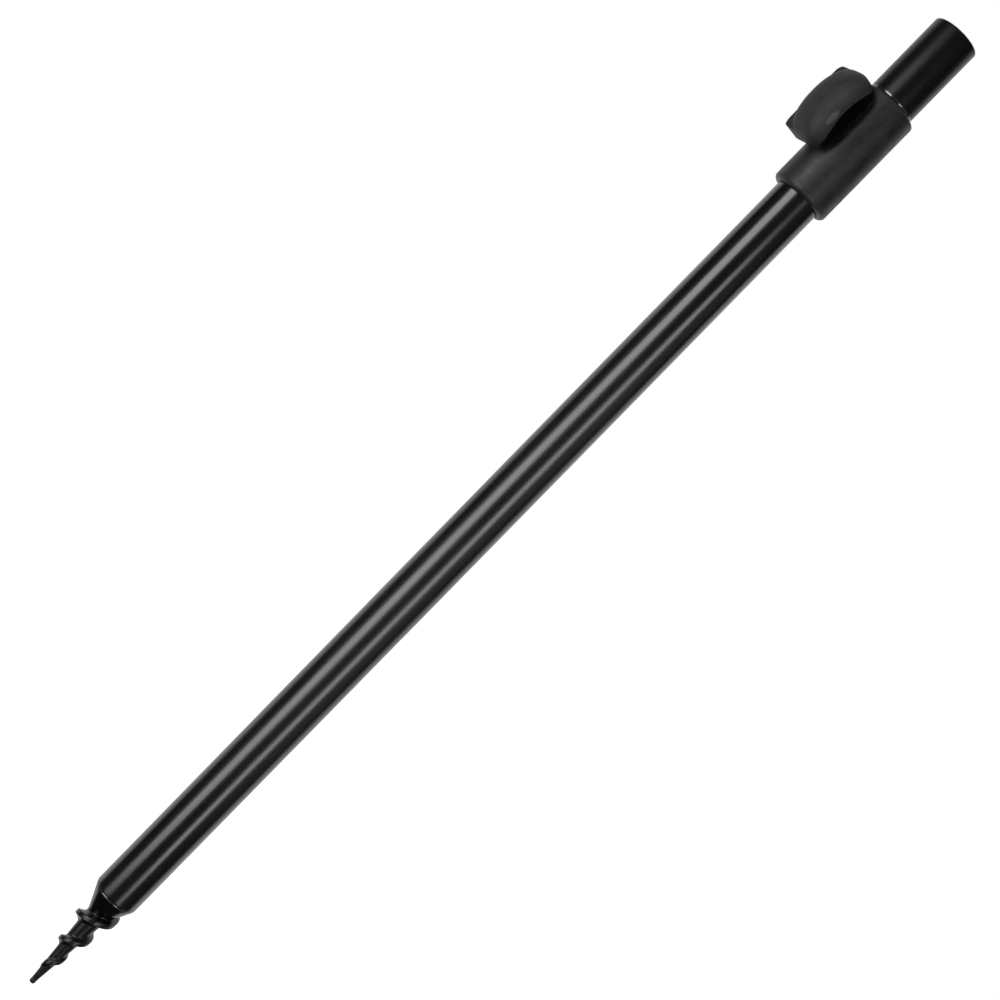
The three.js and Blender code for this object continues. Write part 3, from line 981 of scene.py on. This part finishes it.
# %% [markdown]
# ## Head
# The head is turned from bar, and the tool leaves fine rings round it. Its lower edge was polished
# by the last pass and shows as two bright glints just above the collar, with a dark groove below.
# The glints could be drawn on, but they would then stay where they are when the stick turns, so a
# narrow band of bare metal mirrors the two soft boxes instead.

# %% Turned finish
head_foot = foot_of("head")
head_top = top_of("head")
HEAD_GLINT = (head_foot + 0.5, head_foot + 1.2)
GLINT_FADES = (0.08, 0.08)
POLISHED_METAL = (0.14, 0.14, 0.143)


def turned_finish(name, colour, roughness, gloss, bright):
    """A turned surface, with a polished edge between two heights, in millimetres."""
    sheet = Sheet(name)
    where = place_in_mm(sheet)
    rings = grain(sheet, where, (60, 60, 0.16))
    clouds = grain(sheet, where, (7, 7, 7))
    height = along(sheet, where, "Z")
    edge = band(sheet, height, bright, GLINT_FADES)
    rough = roughness + (rings - 0.5) * 0.08 + (clouds - 0.5) * 0.08
    groove = 1 - between(sheet, height, bright[0] - 2 * GLINT_FADES[0], bright[0])
    rough = rough * (1 - edge) + edge * 0.16 + groove * 0.5
    return sheet.finish({
        "Base Color": mixed(sheet, edge, colour, POLISHED_METAL),
        "Metallic": edge * 0.9,
        "Roughness": rough.clipped(),
        "IOR": gloss,
        "Normal": bumped(sheet, rings, 0.002),
    })


turned_head = turned_finish("turned_head", (0.004, 0.004, 0.0045), 0.33, 1.35, HEAD_GLINT)
print("the polished edge is between", [round(height, 1) for height in HEAD_GLINT], "mm up")

# %% [markdown]
# The head is bored from both ends and solid in between. Its outline is open: it begins on the roof
# of the lower bore, runs down, round the outside and into the upper bore, and the lathe closes both
# ends with a flat face. Its edges are rounded, because a sharp one would have no highlight.

# %% Turn the head
HEAD_RADIUS = 10
HEAD_EDGE = 0.9
HEAD_SEAT = 7.32
HEAD_SEAT_DEPTH = 1.12
HEAD_BORE = 6.32
MAST_WAY = 8.12
MAST_WAY_DEPTH = 18
socket_foot = foot_of("head_socket")
head = turned("head_turned", [
    (MAST_WAY, head_foot + MAST_WAY_DEPTH),
    (MAST_WAY, head_foot),
    *quarter(HEAD_RADIUS - HEAD_EDGE, head_foot + HEAD_EDGE, HEAD_EDGE, -90, 0, 10),
    *quarter(HEAD_RADIUS - HEAD_EDGE, head_top - HEAD_EDGE, HEAD_EDGE, 0, 90, 10),
    (HEAD_SEAT, head_top),
    (HEAD_SEAT, head_top - HEAD_SEAT_DEPTH),
    (HEAD_BORE, head_top - HEAD_SEAT_DEPTH),
    (HEAD_BORE, socket_foot - SEAT_GAP),
], sides=128)
dressed(head, turned_head, "mast", "head")

# %% [markdown]
# The socket in the head's top and the insert in the boss are brass, and the screw is steel. All
# come from an automatic lathe. Plain colours would look too clean, so one finish gives each of them
# tool marks and a few darker stains.

# %% Cut metal finish
def cut_metal_finish(name, colour, stained, roughness):
    """Metal from an automatic lathe, with tool marks round it and a few darker stains."""
    sheet = Sheet(name)
    where = place_in_mm(sheet)
    marks = grain(sheet, where, (25, 25, 0.12))
    stains = grain(sheet, where, (2.5, 2.5, 2.5), 4)
    return sheet.finish({
        "Base Color": mixed(sheet, between(sheet, stains, 0.45, 0.75), colour, stained),
        "Metallic": 1.0,
        "Roughness": roughness + (marks - 0.5) * 0.12 + (stains - 0.5) * 0.15,
        "Normal": bumped(sheet, marks, 0.004),
    })


turned_brass = cut_metal_finish("turned_brass", (0.66, 0.45, 0.19), (0.42, 0.27, 0.11), 0.28)
turned_steel = cut_metal_finish("turned_steel", (0.55, 0.55, 0.56), (0.34, 0.33, 0.32), 0.3)
print("finishes:", turned_brass.name, "and", turned_steel.name)

# %% [markdown]
# Whatever the stick carries is screwed into this socket. Its thread is a helix and could be wound
# as the flight was. At this size V-shaped rings look the same and take a fraction of the faces.

# %% Turn the socket with its thread
def thread(radius, depth, pitch, first, last):
    """The zigzag of a thread, from one height to the other. A negative depth cuts it into a bore."""
    points = []
    turns = int(abs(last - first) / pitch)
    up = 1 if last > first else -1
    for turn in range(turns):
        height = first + up * pitch * turn
        points += [(radius, height), (radius - depth, height + up * pitch / 2)]
    return points + [(radius, first + up * pitch * turns)]


SOCKET_RADIUS = 6.2
SOCKET_FLANGE = 7.2
SOCKET_FLANGE_DEPTH = 1
SOCKET_EDGE = 0.2
SOCKET_BORE = 4.15
SOCKET_MOUTH = 0.8
SOCKET_THREAD = {"depth": -0.7, "pitch": 1.27}
socket = turned("head_socket_turned", [
    (SOCKET_BORE, socket_foot),
    (SOCKET_RADIUS, socket_foot),
    (SOCKET_RADIUS, head_top - SOCKET_FLANGE_DEPTH),
    (SOCKET_FLANGE, head_top - SOCKET_FLANGE_DEPTH),
    (SOCKET_FLANGE, head_top - SOCKET_EDGE),
    (SOCKET_FLANGE - SOCKET_EDGE, head_top),
    (SOCKET_BORE + SOCKET_MOUTH, head_top),
    *thread(SOCKET_BORE, **SOCKET_THREAD, first=head_top - SOCKET_MOUTH, last=socket_foot + SOCKET_EDGE),
], sides=96, closed=True)
dressed(socket, turned_brass, "mast", "head_socket", 25)

# %% [markdown]
# ## Thumb screw
# The screw runs in a threaded insert in the boss. None of it shows from outside, and it could be
# left out, but it is there for whoever takes the stick apart.

# %% Turn the insert
INSERT_RADIUS = 4.1
INSERT_BORE = 3.15
INSERT_MOUTH = 3.5
INSERT_LEAD = 0.4
INSERT_END = 0.1
INSERT_FLANGE = 5
INSERT_FLANGE_FOOT = BOSS_TOP - 0.9
INSERT_THREAD = {"depth": -0.35, "pitch": 0.6}
insert_foot, insert_top = reach_of("screw_insert")
insert = turned("screw_insert_turned", [
    (INSERT_BORE, insert_foot),
    (INSERT_RADIUS, insert_foot),
    (INSERT_RADIUS, INSERT_FLANGE_FOOT),
    (INSERT_FLANGE, INSERT_FLANGE_FOOT),
    (INSERT_FLANGE, insert_top),
    (INSERT_MOUTH, insert_top),
    *thread(INSERT_BORE, **INSERT_THREAD, first=insert_top - INSERT_LEAD, last=insert_foot + INSERT_END),
], sides=64, closed=True)
dressed(along_screw(insert), turned_brass, "stand", "screw_insert", 25)

# %% [markdown]
# The screw's hexagonal head is moulded into the knob, so that the knob can't slip round on it. It is
# a prism with six sides from the same lathe, joined to the threaded shank.

# %% Turn the screw
SCREW_RADIUS = 3
SCREW_TIP_RADIUS = 2.2
SCREW_TIP_RISE = 0.6
SCREW_RUN = 0.05
SCREW_THREAD = {"depth": 0.45, "pitch": 1}
SCREW_HEAD = 4
SCREW_HEAD_FLATS = 10
SCREW_HEAD_CORNER = SCREW_HEAD_FLATS / math.sqrt(3)
SHANK_BELOW_TOP = 1
screw_tip, screw_top = reach_of("clamp_screw")
screw_head_foot = screw_top - SCREW_HEAD
screw = turned("clamp_screw_turned", [
    (SCREW_TIP_RADIUS, screw_tip),
    *thread(SCREW_RADIUS - SCREW_RUN, **SCREW_THREAD, first=screw_tip + SCREW_TIP_RISE, last=screw_head_foot),
    (SCREW_RADIUS - SCREW_RUN, screw_top - SHANK_BELOW_TOP),
], sides=64)
hexagon = turned("screw_head", [(SCREW_HEAD_CORNER, screw_head_foot), (SCREW_HEAD_CORNER, screw_top)], 6)
combined(screw, rounded(hexagon, 0.3), "UNION")
dressed(along_screw(screw), turned_steel, "knob", "clamp_screw", 25)

# %% [markdown]
# The screw presses on a loose nylon pad, and the pad on the inner tube, so that turning the screw
# doesn't score the tube. The pad's end is a saddle that fits the tube. It is cut with a cylinder as
# wide as the tube, laid across it, which is also how the real one is shaped.

# %% Turn the pad and cut its saddle
PAD_RADIUS = 3.4
PAD_INSIDE = 4
PAD_SADDLE = 8.27
PAD_SADDLE_HALF = 9
pad_end = reach_of("pressure_pad")[1]
pad = rounded(turned("pressure_pad_turned", [(PAD_RADIUS, PAD_INSIDE), (PAD_RADIUS, pad_end)], 64), 0.25)
saddle = turned("pad_saddle", [(PAD_SADDLE, -PAD_SADDLE_HALF), (PAD_SADDLE, PAD_SADDLE_HALF)], 128)
saddle.rotation_euler = (0, math.pi / 2, 0)
combined(pad, settled(saddle), "DIFFERENCE")
dressed(along_screw(pad), natural_nylon, "pad", "pressure_pad")

# %% [markdown]
# ## Knob
# The knob has two parts in two finishes. A near-black flange stands close to the collar, and a matt
# cap sits on it. The flange could share the cap's finish, but it mirrors less, and the wall that
# faces the near side of the collar is almost without light, so a soft step across the piece, on its
# y coordinate, paints that wall darker still, as painted shade.

# %% Flange finish
# the y, in mm, where the painted shade on the near wall is full and where it ends
PAINTED_SHADE_ACROSS = (-9, -6)
PAINTED_WALL_SHADE = (0.0008, 0.0008, 0.0008)


def flange_finish(name):
    sheet = Sheet(name)
    where = place_in_mm(sheet)
    across = along(sheet, where, "Y")
    # painted shade: the near wall's base colour is made darker by its y coordinate
    wall = 1 - between(sheet, across, *PAINTED_SHADE_ACROSS)
    pebbles = grain(sheet, where, (0.4, 0.4, 0.4), 3)
    clouds = grain(sheet, where, (4, 4, 6), 3)
    grey = mixed(sheet, clouds, (0.02, 0.02, 0.02), (0.05, 0.05, 0.05))
    return sheet.finish({
        "Base Color": mixed(sheet, wall, grey, PAINTED_WALL_SHADE),
        "Roughness": 0.5 + (clouds - 0.5) * 0.1,
        "IOR": 1.12,
        "Normal": bumped(sheet, pebbles, 0.004),
    })


moulded_flange = flange_finish("moulded_flange")
print("finish:", moulded_flange.name)

# %% [markdown]
# Seen along the screw, both parts are ovals with corners. A box with bevelled corners could not
# swell along its sides as they do. A superellipse gives them from one formula: the higher its
# squareness, the squarer its corners. Each oval is then pushed up through rings that each have a
# size of their own, the way the turned pieces are.

# %% Draw an oval and loft it
def oval(sizes, near_squareness, far_squareness, count=112):
    """Half of it is on the near side, -y, and half on the far side, each with its own width and corners."""
    points = []
    for step in range(count):
        angle = 2 * math.pi * (step + 0.5) / count
        c, s = math.cos(angle), math.sin(angle)
        squareness, half_width = far_squareness, sizes["far"]
        if s < 0:
            squareness, half_width = near_squareness, sizes["near"]
        x = math.copysign(abs(c) ** (2 / squareness), c)
        y = math.copysign(abs(s) ** (2 / squareness), s)
        points.append((sizes["half_length"] * x, half_width * y))
    return points


def lofted(name, points, rings):
    """Extrudes an outline through rings of (distance, size). At size 1 it is as it was drawn."""
    distance, size = rings[0]
    piece = looped(name, [(x * size, y * size) for x, y in points], distance)
    for new_distance, new_size in rings[1:]:
        rise = (0, 0, (new_distance - distance) * MM)
        bpy.ops.mesh.extrude_region_move(TRANSFORM_OT_translate={"value": rise})
        grow = new_size / size
        bpy.ops.transform.resize(value=(grow, grow, 1), center_override=(0, 0, new_distance * MM))
        distance, size = new_distance, new_size
    return closed_up(piece)


FLANGE = {"half_length": 15.2, "near": 10.3, "far": 10.3}
CAP = {"half_length": 15.8, "near": 10.9, "far": 9.8}
knob_foot, knob_top = reach_of("thumb_knob")
print("the knob reaches from", round(knob_foot, 1), "to", round(knob_top, 1), "mm off the stick's axis")

# %% [markdown]
# Both parts of the knob are hollow for the boss, the screw and its hexagonal head. Each could have
# a bore of its own, but one helper cuts the same core out of either, so that they fit together.

# %% Cut the core out of a part of the knob
BOSS_ROOM = 6.7
BOSS_ROOM_TOP = BOSS_TOP + 1.3
SCREW_ROOM = 3.12
HEAD_ROOM = 0.12
CORNER_ROOM = 0.14
CUT_PAST = 2
ROOMS_LAP = 0.1


def cored(piece):
    """Cuts the room for the boss, the screw and its hexagonal head out of a part of the knob."""
    head_floor = screw_head_foot - HEAD_ROOM
    room = turned("knob_room", [
        (BOSS_ROOM, knob_foot - CUT_PAST), (BOSS_ROOM, BOSS_ROOM_TOP),
        (SCREW_ROOM, BOSS_ROOM_TOP + STEP), (SCREW_ROOM, head_floor + ROOMS_LAP),
    ], 64)
    combined(piece, room, "DIFFERENCE")
    corner = SCREW_HEAD_CORNER + CORNER_ROOM
    hexagon = turned("head_room", [(corner, head_floor), (corner, screw_top + HEAD_ROOM)], 6)
    return combined(piece, hexagon, "DIFFERENCE")


print("the core leaves", HEAD_ROOM, "mm round the screw's head")

# %% [markdown]
# The flange has two square corners on the far side and two round ones on the near side, so the
# halves of its oval differ in squareness. Its edges could be bevelled, but two narrower rings at
# its foot and its top break them as the mould does.

# %% Loft the flange
FLANGE_TOP = knob_foot + 7.9
FLANGE_FOOT_RINGS = [(0, 0.975), (0.1, 0.985), (0.5, 1)]
FLANGE_TOP_RINGS = [(-0.3, 1), (0, 0.975)]
flange_rings = [(knob_foot + rise, size) for rise, size in FLANGE_FOOT_RINGS]
flange_rings += [(FLANGE_TOP + rise, size) for rise, size in FLANGE_TOP_RINGS]
flange = lofted("knob_flange", oval(FLANGE, near_squareness=4.2, far_squareness=12), flange_rings)
dressed(along_screw(cored(flange)), moulded_flange, "knob", "thumb_knob", 40)

# %% [markdown]
# The cap is an oval dome that laps over the flange's sides and is lifted at their middle, where a
# thumb gets under it. A squashed sphere would be too pointed, so the loft follows a quarter circle:
# each ring is as high as the sine and as wide as the cosine of its angle. The lift is cut from below
# with a wide cylinder.

# %% Loft the cap and cut its saddle
CAP_FOOT = FLANGE_TOP - 5.9
CAP_SPRING = FLANGE_TOP - 1.3
CAP_FOOT_RINGS = [(0, 0.965), (1, 0.99), (2.3, 1)]
DOME_ANGLES = (0, 8, 16, 25, 35, 45, 55, 65, 75, 84)
SADDLE_RADIUS = 26
SADDLE_TOP = FLANGE_TOP - 2
SADDLE_HALF = 20
cap_rings = [(CAP_FOOT + rise, size) for rise, size in CAP_FOOT_RINGS]
for angle in DOME_ANGLES:
    rise = (knob_top - CAP_SPRING) * math.sin(math.radians(angle))
    cap_rings.append((CAP_SPRING + rise, math.cos(math.radians(angle))))
cap = lofted("knob_cap", oval(CAP, near_squareness=4, far_squareness=2.3), cap_rings)
cap_saddle = turned("cap_saddle", [(SADDLE_RADIUS, -SADDLE_HALF), (SADDLE_RADIUS, SADDLE_HALF)], 256)
cap_saddle.rotation_euler = (math.pi / 2, 0, 0)
cap_saddle.location = (0, 0, (SADDLE_TOP - SADDLE_RADIUS) * MM)
combined(cap, settled(cap_saddle), "DIFFERENCE")
dressed(along_screw(cored(cap)), moulded_cap, "knob", "thumb_knob", 40)

# %% [markdown]
# ## Sizes of the model
# The dressed model is meant to stay the size of the imported one, so both boxes are gathered.

# %% Gather both boxes
boxes = {"cad": [list(corner) for corner in cad_box], "visual": [list(corner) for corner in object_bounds()]}
